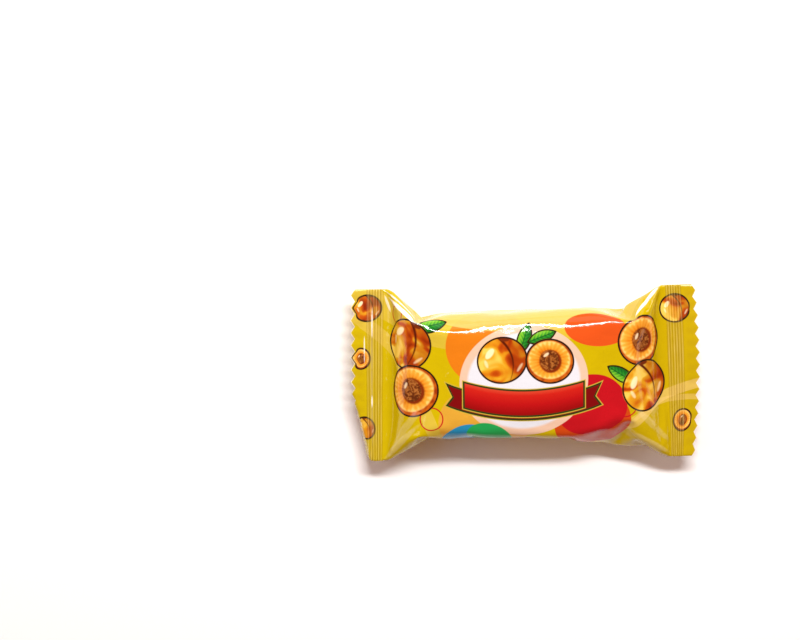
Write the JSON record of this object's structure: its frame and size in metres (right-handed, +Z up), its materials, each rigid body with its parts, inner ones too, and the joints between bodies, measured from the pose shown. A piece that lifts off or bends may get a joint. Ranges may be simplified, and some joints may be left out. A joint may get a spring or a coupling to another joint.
{
  "type": "apricot candy",
  "caption": "Small sweet shut in a printed flow-wrapped film pack, flat crimped seals with zigzag cut edges at both ends and a folded seam down the back, lying on its back.",
  "frame": {"origin": "under the middle of the pack, on the surface that its back lies on", "axes": "+X along the pack from its left end seal to its right one as its printed face is seen, +Y across it, +Z up out of the printed face"},
  "size_m": [0.0801, 0.0398, 0.0164],
  "materials": {
    "printed_film": "glossy printed film"
  },
  "bodies": {
    "root": {"film_pack": "printed_film"}
  },
  "joints": []
}
